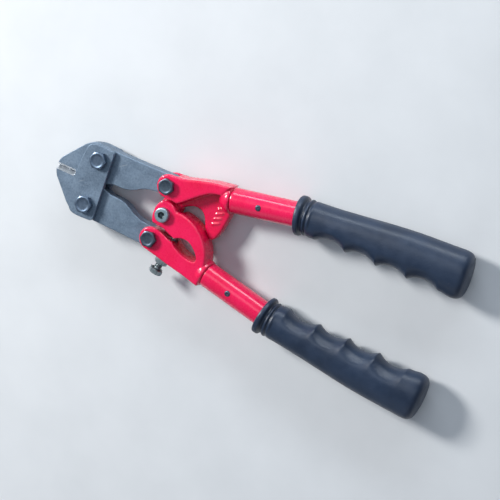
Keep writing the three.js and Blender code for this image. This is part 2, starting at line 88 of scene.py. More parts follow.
# Fasteners. Sizes ending in HEX are across the flats, those ending in HEAD and WASHER itself are heights,
# and the other sizes are radii or levels.
SHANK = 4.0
BOLT_HOLE = SHANK + GAP
BOLT_LOW = REST_Z + 0.3
JAW_HEX, LINK_HEX, CENTRE_HEX, ADJUSTER_HEX = 13.0, 12.0, 13.0, 10.0
HEAD_LOW = SEAT_Z + GAP
HEX_HEAD, SOCKET_HEAD = 4.2, 4.0
WASHER, NARROW_WASHER, WIDE_WASHER = 1.4, 7.0, 9.0
WASHER_LOW = -SEAT_Z - GAP - WASHER
PIN_RADIUS, PIN_STANDS_OUT = 2.5, 0.5

# Adjusting bolt. Its line starts at the tip, and the lever's limb ends LIMB_FACE along it.
ADJUSTER_TIP = Vector((13.2, -15.0, 0))
ADJUSTER_LEAN = math.radians(12.2)
ADJUSTER_RUN = Vector((-math.sin(ADJUSTER_LEAN), -math.cos(ADJUSTER_LEAN), 0))
ADJUSTER_SHANK = 3.0
LIMB_FACE = 20.9
LIMB_TO_HEAD = 10.4
LOCK_NUT = 4.8

# Handles. The line runs from the lever's end. It bends over BEND each side of its corner and goes on past the
# grip's end by OVERRUN. The stations of the grip's body and grooves count from GRIP_START.
LEVER_END = Vector((48.5, 32.3))
TUBE_ANGLE = math.radians(11)
TUBE_RADIUS = 10.3
TUBE_BORE = 8.7
TUBE_SHORT_OF_END = 12
BEND, BEND_STEPS = 6, 12
OVERRUN = 2
GRIP_START = 56.0
GRIP_END = Vector((247.7, 52.6))
GRIP_END_WALL = 9
GRIP_COUNT = 112
GRIP_BODY_START, GRIP_BODY_STEP, GRIP_CAP = 13.4, 0.85, 10
GROOVES, GROOVE_PITCH, FIRST_GROOVE, GROOVE_DEPTH = 4, 26.5, 19.0, 4.4


# ---------------------------------------------------------------- mesh helpers

CIRCLE_STEPS = 48
WELD = 0.002


def smoothstep(value, low, high):
    t = min(1.0, max(0.0, (value - low) / (high - low)))
    return t * t * (3 - 2 * t)


def new_piece(name, vertices, faces, material, smooth_angle=35.0):
    """A mesh object from tool-frame millimetres."""
    mesh = bpy.data.meshes.new(name)
    mesh.from_pydata([tuple(v) for v in vertices], [], faces)
    mesh.transform(Matrix.Translation(CENTRE) @ Matrix.Scale(MM, 4))
    piece = bpy.data.objects.new(name, mesh)
    bpy.context.scene.collection.objects.link(piece)
    mesh.materials.append(material)
    settle(piece, smooth_angle)
    return piece


def settle(piece, smooth_angle):
    """Faces turned outward, smooth but for the edges sharper than the angle."""
    work = bmesh.new()
    work.from_mesh(piece.data)
    bmesh.ops.recalc_face_normals(work, faces=work.faces)
    limit = math.radians(smooth_angle)
    for face in work.faces:
        face.smooth = True
    for edge in work.edges:
        edge.smooth = len(edge.link_faces) == 2 and edge.calc_face_angle(0) < limit
    work.to_mesh(piece.data)
    work.free()


def flat_faces_stay_flat(piece):
    """Normals weighted by area, so that a rounded edge doesn't shade the flat beside it."""
    weighted = piece.modifiers.new("normals", "WEIGHTED_NORMAL")
    weighted.keep_sharp = True
    weighted.weight = 90


def applied(piece):
    """Bakes a piece's modifiers into its mesh."""
    bpy.context.view_layer.update()
    depsgraph = bpy.context.evaluated_depsgraph_get()
    mesh = bpy.data.meshes.new_from_object(piece.evaluated_get(depsgraph))
    piece.modifiers.clear()
    piece.data = mesh


def ring_band(a, b, count):
    """Quads between two rings of vertex numbers that start at a and b."""
    return [(a + i, a + (i + 1) % count, b + (i + 1) % count, b + i) for i in range(count)]


def radial(rings, count=96, hollow=False):
    """A body about Z from rings of (radius, z), each a number or a function of the angle.
    A solid one is closed by a point at each end, a hollow one joins its last ring to its first."""
    value = lambda term, angle: term(angle) if callable(term) else term
    vertices, faces = [], []
    for radius, height in rings:
        for i in range(count):
            angle = TAU * i / count
            reach = value(radius, angle)
            vertices.append((reach * math.cos(angle), reach * math.sin(angle), value(height, angle)))
    for k in range(len(rings) - 1):
        faces += ring_band(k * count, (k + 1) * count, count)
    last = (len(rings) - 1) * count
    if hollow:
        faces += ring_band(last, 0, count)
        return vertices, faces
    for start, (radius, height) in ((0, rings[0]), (last, rings[-1])):
        tip = len(vertices)
        level = sum(value(height, TAU * i / count) for i in range(count)) / count
        vertices.append((0, 0, level))
        faces += [(start + i, start + (i + 1) % count, tip) for i in range(count)]
    return vertices, faces


def moved(vertices, at, turn):
    """Vertices turned about Z and shifted to a point of the tool's plane."""
    cos, sin = math.cos(turn), math.sin(turn)
    return [(at.x + x * cos - y * sin, at.y + x * sin + y * cos, z) for x, y, z in vertices]


def flat_solid(name, outline, holes, low, high, bevel, material):
    """A plate cut from an outline with round holes, its edges rounded. Points in tool-frame millimetres."""
    data = bpy.data.curves.new(name + "_outline", "CURVE")
    data.dimensions = "2D"
    data.fill_mode = "BOTH"
    data.extrude = (high - low) / 2 - bevel
    data.bevel_depth = bevel
    data.bevel_resolution = 2
    data.offset = -bevel
    angles = [TAU * i / CIRCLE_STEPS for i in range(CIRCLE_STEPS)]
    circles = [[(x + r * math.cos(a), y + r * math.sin(a)) for a in angles] for x, y, r in holes]
    for points in [outline] + circles:
        spline = data.splines.new("POLY")
        spline.points.add(len(points) - 1)
        for point, (x, y) in zip(spline.points, points):
            point.co = (x, y, 0, 1)
        spline.use_cyclic_u = True
    curve = bpy.data.objects.new(name + "_curve", data)
    bpy.context.scene.collection.objects.link(curve)
    bpy.context.view_layer.update()
    mesh = bpy.data.meshes.new_from_object(curve.evaluated_get(bpy.context.evaluated_depsgraph_get()))
    bpy.data.objects.remove(curve)
    work = bmesh.new()
    work.from_mesh(mesh)
    bmesh.ops.remove_doubles(work, verts=work.verts, dist=WELD)
    vertices = [(v.co.x, v.co.y, v.co.z + (low + high) / 2) for v in work.verts]
    faces = [[v.index for v in f.verts] for f in work.faces]
    work.free()
    return new_piece(name, vertices, faces, material)


def reflected(points):
    """An outline mirrored to the lower side, still running the same way round."""
    return [(x, -y) for x, y in reversed(points)]


def arc(cx, cy, radius, start, stop, steps):
    """Points of an arc, angles in degrees."""
    angles = [math.radians(start + (stop - start) * i / steps) for i in range(steps + 1)]
    return [(cx + radius * math.cos(a), cy + radius * math.sin(a)) for a in angles]


def bezier(p0, p1, p2, p3, steps=12):
    """Points of a cubic curve, without its first point."""
    points = []
    for i in range(1, steps + 1):
        t = i / steps
        k = ((1 - t) ** 3, 3 * t * (1 - t) ** 2, 3 * t * t * (1 - t), t ** 3)
        points.append(tuple(sum(w * p[axis] for w, p in zip(k, (p0, p1, p2, p3))) for axis in (0, 1)))
    return points


# ---------------------------------------------------------------- material helpers

class Shade:
    """A node material under construction, with short calls for the nodes used here."""

    def __init__(self, name, **sockets):
        self.material = bpy.data.materials.new(name)
        self.material.use_nodes = True
        self.tree = self.material.node_tree
        self.surface = self.tree.nodes["Principled BSDF"]
        for key, value in sockets.items():
            self.surface.inputs[key.replace("_", " ")].default_value = value
        coordinates = self.tree.nodes.new("ShaderNodeTexCoord")
        self.place = coordinates.outputs["Object"]

    def node(self, kind, inputs, **settings):
        made = self.tree.nodes.new(kind)
        for key, value in settings.items():
            setattr(made, key, value)
        for key, value in inputs.items():
            if isinstance(value, bpy.types.NodeSocket):
                self.tree.links.new(value, made.inputs[key])
            else:
                made.inputs[key].default_value = value
        return made

    def stretched(self, x, y, z):
        """Object coordinates scaled on each axis."""
        return self.node("ShaderNodeMapping", {"Vector": self.place, "Scale": (x, y, z)}).outputs["Vector"]

    def noise(self, size_mm, detail=4.0, rough=0.55, place=None):
        inputs = {"Vector": place or self.place, "Scale": 1000 / size_mm, "Detail": detail,
                  "Roughness": rough}
        return self.node("ShaderNodeTexNoise", inputs).outputs["Fac"]

    def soft_cells(self, size_mm):
        inputs = {"Vector": self.place, "Scale": 1000 / size_mm}
        return self.node("ShaderNodeTexVoronoi", inputs, feature="SMOOTH_F1").outputs["Distance"]

    def span(self, source, low, high, to_low=0.0, to_high=1.0):
        """The source's range low..high mapped to to_low..to_high and held there."""
        inputs = {"Value": source, "From Min": low, "From Max": high, "To Min": to_low, "To Max": to_high}
        return self.node("ShaderNodeMapRange", inputs, clamp=True).outputs["Result"]

    def math(self, operation, a, b):
        return self.node("ShaderNodeMath", {0: a, 1: b}, operation=operation).outputs["Value"]

    def blend(self, factor, a, b):
        made = self.node("ShaderNodeMix", {"Factor": factor, 6: a, 7: b}, data_type="RGBA")
        return made.outputs[2]

    def scratches(self, long_mm, wide_mm, rarity):
        """Sparse thin lines in two slanting directions."""
        layers = []
        for slant in (0.35, -0.6):
            inputs = {"Vector": self.place, "Rotation": (0, 0, slant)}
            turned = self.node("ShaderNodeMapping", inputs).outputs["Vector"]
            thin = self.node("ShaderNodeMapping", {"Vector": turned, "Scale": (wide_mm / long_mm, 1, 1)})
            layers.append(self.noise(wide_mm, 2, 0.4, thin.outputs["Vector"]))
        lines = self.math("MAXIMUM", *layers)
        return self.span(lines, rarity, rarity + 0.03)

    def edges(self, radius_mm, low=0.02, high=0.2):
        """1 on worn convex and concave edges, 0 on open faces."""
        bevel = self.node("ShaderNodeBevel", {"Radius": radius_mm * MM}, samples=6).outputs["Normal"]
        normal = self.node("ShaderNodeNewGeometry", {}).outputs["Normal"]
        dot = self.node("ShaderNodeVectorMath", {0: bevel, 1: normal}, operation="DOT_PRODUCT")
        return self.span(dot.outputs["Value"], 1 - low, 1 - high)

    def hollows(self, distance_mm, low=0.45, high=0.95):
        """1 deep in hollows of the same piece, 0 in the open."""
        inputs = {"Distance": distance_mm * MM}
        made = self.node("ShaderNodeAmbientOcclusion", inputs, samples=8, only_local=True)
        return self.span(made.outputs["AO"], high, low)

    def bump(self, height, strength, distance_mm, after=None):
        inputs = {"Height": height, "Strength": strength, "Distance": distance_mm * MM}
        if after is not None:
            inputs["Normal"] = after
        return self.node("ShaderNodeBump", inputs).outputs["Normal"]

    def finish(self, color=None, roughness=None, normal=None, coat_normal=None):
        for key, source in (("Base Color", color), ("Roughness", roughness), ("Normal", normal),
                            ("Coat Normal", coat_normal)):
            if source is not None:
                self.tree.links.new(source, self.surface.inputs[key])
        return self.material


def rgb(red, green, blue):
    return (red, green, blue, 1.0)


# ---------------------------------------------------------------- materials

def phosphated_steel():
    """Blue-grey coated forging: blasted grain, long light scratches, rubbed edges, painted shade in its
    hollows.
    """
    s = Shade("phosphated_steel", Metallic=0.7)
    cloud = s.noise(22, 5, 0.6)
    mottle = s.noise(1.6, 5, 0.65)
    color = s.blend(s.span(cloud, 0.3, 0.7), rgb(0.125, 0.18, 0.25), rgb(0.195, 0.265, 0.35))
    color = s.blend(s.span(mottle, 0.45, 0.75, 0, 0.5), color, rgb(0.29, 0.36, 0.45))
    color = s.blend(s.span(mottle, 0.46, 0.25, 0, 0.45), color, rgb(0.075, 0.1, 0.135))
    # Painted shade: the colour goes near black deep in the piece's own hollows.
    color = s.blend(s.math("MULTIPLY", s.hollows(5), 0.65), color, rgb(0.03, 0.035, 0.042))
    scratch = s.scratches(26, 1.4, 0.735)
    color = s.blend(s.math("MULTIPLY", scratch, 0.4), color, rgb(0.46, 0.5, 0.54))
    rub = s.math("MULTIPLY", s.edges(0.7), s.span(s.noise(3.5, 5), 0.33, 0.55))
    color = s.blend(s.math("MULTIPLY", rub, 0.8), color, rgb(0.5, 0.54, 0.58))
    rough = s.span(s.noise(6, 6, 0.65), 0.3, 0.7, 0.38, 0.54)
    rough = s.math("SUBTRACT", rough, s.math("MULTIPLY", rub, 0.16))
    grain = s.bump(s.noise(0.7, 4, 0.65), 0.6, 0.09)
    waves = s.bump(s.noise(5, 4), 0.4, 0.22, grain)
    return s.finish(color, rough, waves)


def ground_steel():
    """Freshly ground bevel of a cutting edge, its marks running off the edge."""
    s = Shade("ground_steel", Metallic=1.0)
    marks = s.noise(0.5, 4, 0.6, s.stretched(1, 0.05, 0.05))
    color = s.blend(s.span(marks, 0.3, 0.7), rgb(0.62, 0.66, 0.7), rgb(0.78, 0.8, 0.82))
    rough = s.span(marks, 0.3, 0.7, 0.3, 0.4)
    return s.finish(color, rough, s.bump(marks, 0.25, 0.015))


def fastener_steel(name, dark, light, shade_reach_mm=2.0):
    """Plated fastener steel between two tones, with handling marks and painted shade in its corners."""
    s = Shade(name, Metallic=0.88)
    stain = s.noise(4, 5, 0.6)
    color = s.blend(s.span(stain, 0.35, 0.7), rgb(*dark), rgb(*light))
    # Painted shade: the colour goes near black in the piece's own corners and recesses.
    color = s.blend(s.math("MULTIPLY", s.hollows(shade_reach_mm), 0.85), color, rgb(0.012, 0.014, 0.016))
    rub = s.math("MULTIPLY", s.edges(0.35), s.span(s.noise(1.5, 4), 0.35, 0.6))
    color = s.blend(s.math("MULTIPLY", rub, 0.35), color, rgb(0.45, 0.5, 0.52))
    rough = s.span(s.noise(1.2, 5, 0.7), 0.3, 0.7, 0.32, 0.48)
    return s.finish(color, rough, s.bump(s.noise(0.35, 3), 0.3, 0.04))


def red_paint(name, grain_mm, grain_strength):
    """Thick glossy red stoving paint over metal, with orange peel, soft wear and a few chips on the edges."""
    s = Shade(name, Coat_Weight=0.55, Coat_Roughness=0.1, Specular_IOR_Level=0.45)
    cloud = s.noise(28, 4)
    color = s.blend(s.span(cloud, 0.3, 0.7), rgb(0.7, 0.002, 0.054), rgb(0.8, 0.006, 0.086))
    # Painted shade: the red goes deep and dark in the piece's own hollows.
    color = s.blend(s.math("MULTIPLY", s.hollows(6), 0.5), color, rgb(0.36, 0.0, 0.006))
    wear = s.edges(0.9)
    scuff = s.math("MULTIPLY", wear, s.span(s.noise(4, 5, 0.65), 0.45, 0.62))
    color = s.blend(s.math("MULTIPLY", scuff, 0.18), color, rgb(0.85, 0.08, 0.13))
    chip = s.math("MULTIPLY", wear, s.span(s.noise(2.2, 6, 0.7), 0.66, 0.675))
    color = s.blend(chip, color, rgb(0.07, 0.07, 0.08))
    rough = s.span(s.noise(5, 5, 0.6), 0.3, 0.7, 0.22, 0.34)
    rough = s.math("ADD", rough, s.math("MULTIPLY", chip, 0.25))
    cast = s.bump(s.noise(grain_mm, 3, 0.5), grain_strength, 0.12)
    peel = s.bump(s.noise(1.1, 2, 0.4), 0.12, 0.04)
    return s.finish(color, rough, cast, peel)


def grip_rubber():
    """Blue-black moulded rubber: fine leathery grain, rubbed on its ridges, dusty in its grooves."""
    s = Shade("grip_rubber", Specular_IOR_Level=0.6)
    cloud = s.noise(18, 4)
    color = s.blend(s.span(cloud, 0.3, 0.7), rgb(0.007, 0.018, 0.043), rgb(0.013, 0.03, 0.067))
    # Painted shade: the rubber goes near black in its grooves and other hollows.
    color = s.blend(s.math("MULTIPLY", s.hollows(9), 0.75), color, rgb(0.003, 0.004, 0.007))
    dust = s.math("MULTIPLY", s.hollows(2), s.span(s.noise(2, 5), 0.5, 0.7))
    color = s.blend(s.math("MULTIPLY", dust, 0.35), color, rgb(0.06, 0.065, 0.07))
    color = s.blend(s.math("MULTIPLY", s.edges(0.8), 0.3), color, rgb(0.035, 0.055, 0.09))
    color = s.blend(s.math("MULTIPLY", s.scratches(12, 0.9, 0.73), 0.3), color, rgb(0.06, 0.075, 0.1))
    rough = s.span(s.noise(9, 5, 0.6), 0.3, 0.7, 0.34, 0.48)
    grain = s.bump(s.soft_cells(1.3), 0.6, 0.12)
    skin = s.bump(s.noise(0.45, 3), 0.4, 0.06, grain)
    return s.finish(color, rough, skin)


STEEL = phosphated_steel()
GROUND = ground_steel()
HEAD_BOLT = fastener_steel("head_fastener_steel", (0.1, 0.145, 0.21), (0.175, 0.235, 0.32))
LINK_BOLT = fastener_steel("link_fastener_steel", (0.06, 0.085, 0.115), (0.115, 0.155, 0.2))
# The centre bolt's longer reach (6 mm) paints deep shade into its hexagon socket.
CENTRE_BOLT = fastener_steel("centre_fastener_steel", (0.24, 0.34, 0.39), (0.42, 0.54, 0.6), 6.0)
# The adjuster's light tones are a painted highlight, standing in for the glints on its lock nut and head.
ADJUSTER = fastener_steel("adjuster_fastener_steel", (0.2, 0.25, 0.27), (0.4, 0.46, 0.48))
LEVER_RED = red_paint("red_casting", 1.5, 0.75)
TUBE_RED = red_paint("red_tube", 6.0, 0.2)
RUBBER = grip_rubber()


# ---------------------------------------------------------------- head: jaws and plates

def jaw_outline():
    """Outline of the upper jaw: nose, back, link eye, and the inner side to the cutting edge."""
    points = [(NOSE_X, 0.2), (NOSE_X, 2.6)]
    points += bezier((NOSE_X, 2.6), (-101.9, 5.0), (-101.0, 7.3), (-99.2, 9.4))
    points += [(-95.0, 14.1), (-90.0, 19.7), (-85.6, 24.6)]
    points += bezier((-85.6, 24.6), (-81.7, 28.8), (-77.2, 31.0), (-72.0, 31.2))
    points += [(-66.0, 30.7), (-60.0, 30.2), (-45.0, 30.4), (-30.0, 30.6), (-17.0, 31.0)]
    points += arc(LINK_PIVOT.x, LINK_PIVOT.y, JAW_EYE, 90, -90, 40)
    points += bezier((LINK_PIVOT.x, LINK_PIVOT.y - JAW_EYE), (-16.0, 14.1), (-22.0, 13.4), (-29.0, 9.0), 16)
    points += bezier((-29.0, 9.0), (-33.7, 6.1), (-38.7, 4.5), (-44.0, 4.5))
    points += [(-50.0, 4.4), (-60.0, 1.3), (-68.0, 0.7), (-84.0, 0.7), (-84.8, 0.2)]
    return points


def bevel_wedge(side, top):
    """The metal ground away from one face of one cutting edge. It ends in a rounded run-out."""
    section = [(-1.0, -1.14), (3.37, 5.92), (-1.0, 5.92)]
    length, end = 18.0, -84.6
    vertices, faces = [], []
    stations = [(end - length - 1.0, 0.0), (end - 1.5, 0.0), (end, 1.6), (end + 0.8, 3.4)]
    for x, lift in stations:
        for y, z in section:
            vertices.append((x, side * (y - lift * 0.6), (z + lift) * top))
    for k in range(len(stations) - 1):
        for i in range(3):
            j = (i + 1) % 3
            faces.append((3 * k + i, 3 * k + j, 3 * k + 3 + j, 3 * k + 3 + i))
    last = 3 * (len(stations) - 1)
    faces += [(0, 1, 2), (last, last + 1, last + 2)]
    return new_piece("wedge", vertices, faces, GROUND)


def jaw(side_name, side):
    points = jaw_outline() if side > 0 else reflected(jaw_outline())
    holes = [(pivot.x, side * pivot.y, BOLT_HOLE) for pivot in (JAW_PIVOT, LINK_PIVOT)]
    piece = flat_solid("forged_jaw_" + side_name, points, holes, -JAW_HALF, JAW_HALF, JAW_ROUNDING, STEEL)
    wedges = [bevel_wedge(side, 1), bevel_wedge(side, -1)]
    for wedge in wedges:
        cut = piece.modifiers.new("bevel", "BOOLEAN")
        cut.object = wedge
        cut.operation = "DIFFERENCE"
        cut.solver = "EXACT"
        cut.material_mode = "TRANSFER"
    applied(piece)
    for wedge in wedges:
        bpy.data.objects.remove(wedge)
    settle(piece, 30)
    flat_faces_stay_flat(piece)
    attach(piece, side_name + "_jaw")
    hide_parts("jaw_" + side_name)


def plate_outline():
    corner = bezier((-56.2, 26.6), (-56.2, 29.0), (-57.4, 30.2), (-59.8, 30.3))
    shoulder = bezier((-68.0, 30.7), (-74.6, 31.0), (-79.1, 29.8), (-80.2, 25.2))
    front = bezier((-80.2, 25.2), (-83.9, 8.4), (-83.9, -8.4), (-80.2, -25.2), 24)
    half = [(-56.2, 26.6)] + corner + [(-68.0, 30.7)] + shoulder
    return half + front[:-1] + reflected(half)


def head_plate(node, low, high):
    holes = [(JAW_PIVOT.x, side * JAW_PIVOT.y, BOLT_HOLE) for side in (1, -1)]
    piece = flat_solid("stamped_" + node, plate_outline(), holes, low, high, PLATE_ROUNDING, STEEL)
    flat_faces_stay_flat(piece)
    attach(piece, "head")
    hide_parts(node)


# ---------------------------------------------------------------- fasteners

def hexagon(across_flats):
    """Radius of a hexagon at each angle, a flat facing the angle 0."""
    def radius(angle):
        return across_flats / 2 / math.cos((angle + math.pi / 6) % (math.pi / 3) - math.pi / 6)
    return radius


def hex_face(across_flats):
    """Radius of the round face inside a hexagon's chamfer."""
    return across_flats / 2 * 0.96


def chamfer_line(across_flats, level, direction):
    """Height where a 30 degree cone meets the hexagon's sides: direction -1 falls away from a top face."""
    radius, face, slope = hexagon(across_flats), hex_face(across_flats), math.tan(math.radians(30))
    return lambda angle: level + direction * (radius(angle) - face) * slope


def fastener(name, node, mesh, at, body, material, turn=0.0):
    vertices, faces = mesh
    piece = new_piece(name, moved(vertices, at, turn), faces, material)
    flat_faces_stay_flat(piece)
    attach(piece, body)
    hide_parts(node)


def hex_bolt(across_flats, low, head_low, head_high):
    """Bolt with a washer face under a hexagon head and a slightly dished crown."""
    face = hex_face(across_flats)
    rings = [(1.0, low + 0.25), (SHANK - 1.1, low), (SHANK - 0.7, low), (SHANK, low + 0.7),
             (SHANK, head_low - 0.2), (SHANK + 0.25, head_low), (face - 0.2, head_low),
             (face, head_low + 0.25)]
    hexed = hexagon(across_flats)
    rings += [(lambda a: hexed(a) - 0.25, head_low + 0.3), (hexed, head_low + 0.5),
              (hexed, chamfer_line(across_flats, head_high, -1)), (face, head_high),
              (face - 1.0, head_high), (face - 1.3, head_high - 0.18), (face - 2.6, head_high - 0.25),
              (0.6, head_high - 0.25)]
    return radial(rings)


def hex_nut(across_flats, low, high, bore):
    """Nut with both faces chamfered and a countersunk bore."""
    face = hex_face(across_flats)
    hexed = hexagon(across_flats)
    rings = [(bore, low + 0.7), (bore + 0.6, low), (face, low), (hexed, chamfer_line(across_flats, low, 1)),
             (hexed, chamfer_line(across_flats, high, -1)), (face, high), (bore + 0.6, high),
             (bore, high - 0.7)]
    return radial(rings, hollow=True)


def socket_bolt(low, head_low, head_high):
    """Low round head with a hexagon socket."""
    outer, rounding, key, depth = 6.1, 1.1, 5.0, 2.6
    socket, floor = hexagon(key), head_high - depth
    rings = [(0.4, floor - 0.8), (key / 2 * 0.98, floor), (socket, floor + 0.05), (socket, head_high - 0.4),
             (lambda a: socket(a) + 0.3, head_high), (4.9, head_high)]
    rings += [(outer - rounding + rounding * math.sin(t), head_high - rounding + rounding * math.cos(t))
              for t in (0.0, 0.4, 0.8, 1.2, 1.57)]
    rings += [(outer, head_low + 0.3), (outer - 0.3, head_low), (SHANK, head_low), (SHANK, low + 0.7),
              (SHANK - 0.7, low), (0.5, low)]
    return radial(rings)


def flat_washer(inner, outer, low, high):
    edge = 0.25
    rings = [(inner, low + edge), (inner + edge, low), (outer - edge * 2, low),
             (outer - edge * 0.6, low + edge * 0.3), (outer, low + edge), (outer, high - edge),
             (outer - edge * 0.6, high - edge * 0.3), (outer - edge * 2, high), (inner + edge, high),
             (inner, high - edge)]
    return radial(rings, hollow=True)


def pivot_stack(kind, side, at, body, across_flats, material, turn):
    """Bolt, washer and nut of one pivot."""
    bolt = hex_bolt(across_flats, BOLT_LOW, HEAD_LOW, HEAD_LOW + HEX_HEAD)
    washer = flat_washer(BOLT_HOLE, NARROW_WASHER, WASHER_LOW, WASHER_LOW + WASHER)
    nut = hex_nut(across_flats, REST_Z, WASHER_LOW - GAP, BOLT_HOLE)
    fastener(f"hex_{kind}_bolt_{side}", f"{kind}_bolt_{side}", bolt, at, body, material, turn)
    fastener(f"flat_{kind}_washer_{side}", f"{kind}_washer_{side}", washer, at, body, material)
    fastener(f"hex_{kind}_nut_{side}", f"{kind}_nut_{side}", nut, at, body, material, turn + 0.3)


def centre_stack():
    """Bolt, washer and nut of the centre pivot. The wide washer covers the upper lever's oversize hole."""
    bolt = socket_bolt(BOLT_LOW, HEAD_LOW, HEAD_LOW + SOCKET_HEAD)
    washer = flat_washer(BOLT_HOLE, WIDE_WASHER, WASHER_LOW, WASHER_LOW + WASHER)
    nut = hex_nut(CENTRE_HEX, REST_Z, WASHER_LOW - GAP, BOLT_HOLE)
    at, body = Vector((0, 0)), "lower_handle"
    fastener("socket_centre_bolt", "centre_bolt", bolt, at, body, CENTRE_BOLT, 0.4)
    fastener("wide_centre_washer", "centre_washer", washer, at, body, CENTRE_BOLT)
    fastener("hex_centre_nut", "centre_nut", nut, at, body, CENTRE_BOLT, 0.15)


# ---------------------------------------------------------------- adjusting bolt

def along_adjuster(vertices):
    """Turns a body drawn about Z, tip at 0, onto the adjusting bolt's line."""
    up = Vector((0, 0, 1))
    side = ADJUSTER_RUN.cross(up)
    return [tuple(ADJUSTER_TIP + side * y + up * x + ADJUSTER_RUN * z) for x, y, z in vertices]


def screw_thread(radius, pitch, start, stop):
    """Rings of a right-hand thread between two stations."""
    rings_per_turn, depth = 10, 0.55 * pitch
    steps = int((stop - start) / pitch * rings_per_turn)
    stations = [start + (stop - start) * i / steps for i in range(steps + 1)]

    def ridge(station):
        def at(angle):
            phase = (station / pitch - angle / TAU) % 1.0
            return radius - depth * min(1.0, max(0.0, abs(phase - 0.5) * 2.6 - 0.3))
        return at
    return [(ridge(station), station) for station in stations]


def adjuster():
    """Adjusting bolt, threaded from its tip to its head, and the lock nut on the limb's face."""
    head = LIMB_FACE + LIMB_TO_HEAD
    head_high, crown = head + HEX_HEAD, head + 4.05
    hexed, face = hexagon(ADJUSTER_HEX), hex_face(ADJUSTER_HEX)
    rings = [(1.2, 0.3), (2.0, 0.3), (2.4, 0.7)] + screw_thread(ADJUSTER_SHANK, 1.0, 1.0, head - 1.6)
    rings += [(ADJUSTER_SHANK, head - 1.2), (ADJUSTER_SHANK, head - 0.1), (face - 0.2, head),
              (face, head + 0.2), (lambda a: hexed(a) - 0.2, head + 0.25), (hexed, head + 0.4),
              (hexed, chamfer_line(ADJUSTER_HEX, head_high, -1)), (face, head_high),
              (face - 1.4, crown), (0.5, crown)]
    low = LIMB_FACE + GAP
    nut = hex_nut(ADJUSTER_HEX, low, low + LOCK_NUT, ADJUSTER_SHANK + GAP)
    parts = (("threaded_adjusting_bolt", "adjusting_bolt", radial(rings, CIRCLE_STEPS)),
             ("hex_lock_nut", "adjuster_lock_nut", nut))
    for name, node, (vertices, faces) in parts:
        piece = new_piece(name, along_adjuster(vertices), faces, ADJUSTER)
        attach(piece, "lower_handle")
        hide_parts(node)


# ---------------------------------------------------------------- cast levers

def raise_parting_line(piece, side):
    """The thin ridge a two-part mould leaves on the outer wall, at half the casting's thickness."""
    height, width = 0.28, 0.55
    normals = [vertex.normal.copy() for vertex in piece.data.vertices]
    for vertex, normal in zip(piece.data.vertices, normals):
        outward = side * normal.y
        level = (vertex.co.z - CENTRE.z) / MM
        if outward > 0.25 and abs(normal.z) < 0.6 and abs(level) < 2:
            lift = height * math.exp(-(level / width) ** 2) * smoothstep(outward, 0.25, 0.6)
            vertex.co += normal * (lift * MM)


def cast_lever(side_name):
    """The lever's casting: the frame's solid with its edges drawn down as in a sand mould."""
    node = "lever_" + side_name
    piece = bpy.data.objects.new("cast_lever_" + side_name, frame["nodes"][node].data.copy())
    bpy.context.scene.collection.objects.link(piece)
    piece.data.materials.clear()
    piece.data.materials.append(LEVER_RED)
    remesh = piece.modifiers.new("skin", "REMESH")
    remesh.mode = "VOXEL"
    remesh.voxel_size = 0.55 * MM
    remesh.use_smooth_shade = True
    soft = piece.modifiers.new("soft", "SMOOTH")
    soft.factor = 0.5
    soft.iterations = 7
    applied(piece)
    raise_parting_line(piece, 1 if side_name == "upper" else -1)
    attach(piece, side_name + "_handle")
    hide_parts(node)


# ---------------------------------------------------------------- handle line, tubes, pins and grips

class HandleLine:
    """Centre line of the upper handle: straight from the lever, a small bend at the grip, then straight."""

    def __init__(self):
        run = Vector((math.cos(TUBE_ANGLE), math.sin(TUBE_ANGLE)))
        corner = LEVER_END + run * (GRIP_START + BEND)
        out = (GRIP_END - corner).normalized()
        first, last = corner - run * BEND, corner + out * BEND
        bend = [(1 - t) ** 2 * first + 2 * t * (1 - t) * corner + t * t * last
                for t in [k / BEND_STEPS for k in range(BEND_STEPS + 1)]]
        self.points = [LEVER_END] + bend + [GRIP_END + out * OVERRUN]
        steps = [(b - a).length for a, b in zip(self.points, self.points[1:])]
        self.stations = [sum(steps[:k]) for k in range(len(steps) + 1)]

    def at(self, station):
        """Point and sideways direction, toward the tool's axis, at a distance from the lever's end."""
        k = min(len(self.points) - 2, max(0, bisect.bisect(self.stations, station) - 1))
        a, b = self.points[k], self.points[k + 1]
        run = (b - a).normalized()
        return a + run * (station - self.stations[k]), Vector((run.y, -run.x))

    def length_to_end(self):
        return self.stations[-1] - OVERRUN


LINE = HandleLine()


def along_handle(vertices, start, side):
    """Lays a body drawn about Z, across = x toward the tool's axis and up = y, along the handle line."""
    placed = []
    for across, up, station in vertices:
        at, inward = LINE.at(start + station)
        point = at + inward * across
        placed.append((point.x, side * point.y, up))
    return placed


def steel_tube(side_name, side):
    length = LINE.length_to_end() - TUBE_SHORT_OF_END - GAP
    wall = TUBE_RADIUS - TUBE_BORE
    rings = [(TUBE_BORE, 0.3), (TUBE_BORE + 0.3, 0.0), (TUBE_BORE + wall * 0.6, 0.0),
             (TUBE_RADIUS - 0.15, 0.15), (TUBE_RADIUS, 0.6)]
    stops = [2, 10, 25, 40, 54] + [55 + 15 * k / 11 for k in range(12)] + [90, 130, 165, length]
    rings += [(TUBE_RADIUS, float(s)) for s in stops]
    rings += [(TUBE_BORE, float(s)) for s in reversed(stops)]
    vertices, faces = radial(rings, 72, hollow=True)
    piece = new_piece("drawn_tube_" + side_name, along_handle(vertices, GAP, side), faces, TUBE_RED)
    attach(piece, side_name + "_handle")
    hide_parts("tube_" + side_name)


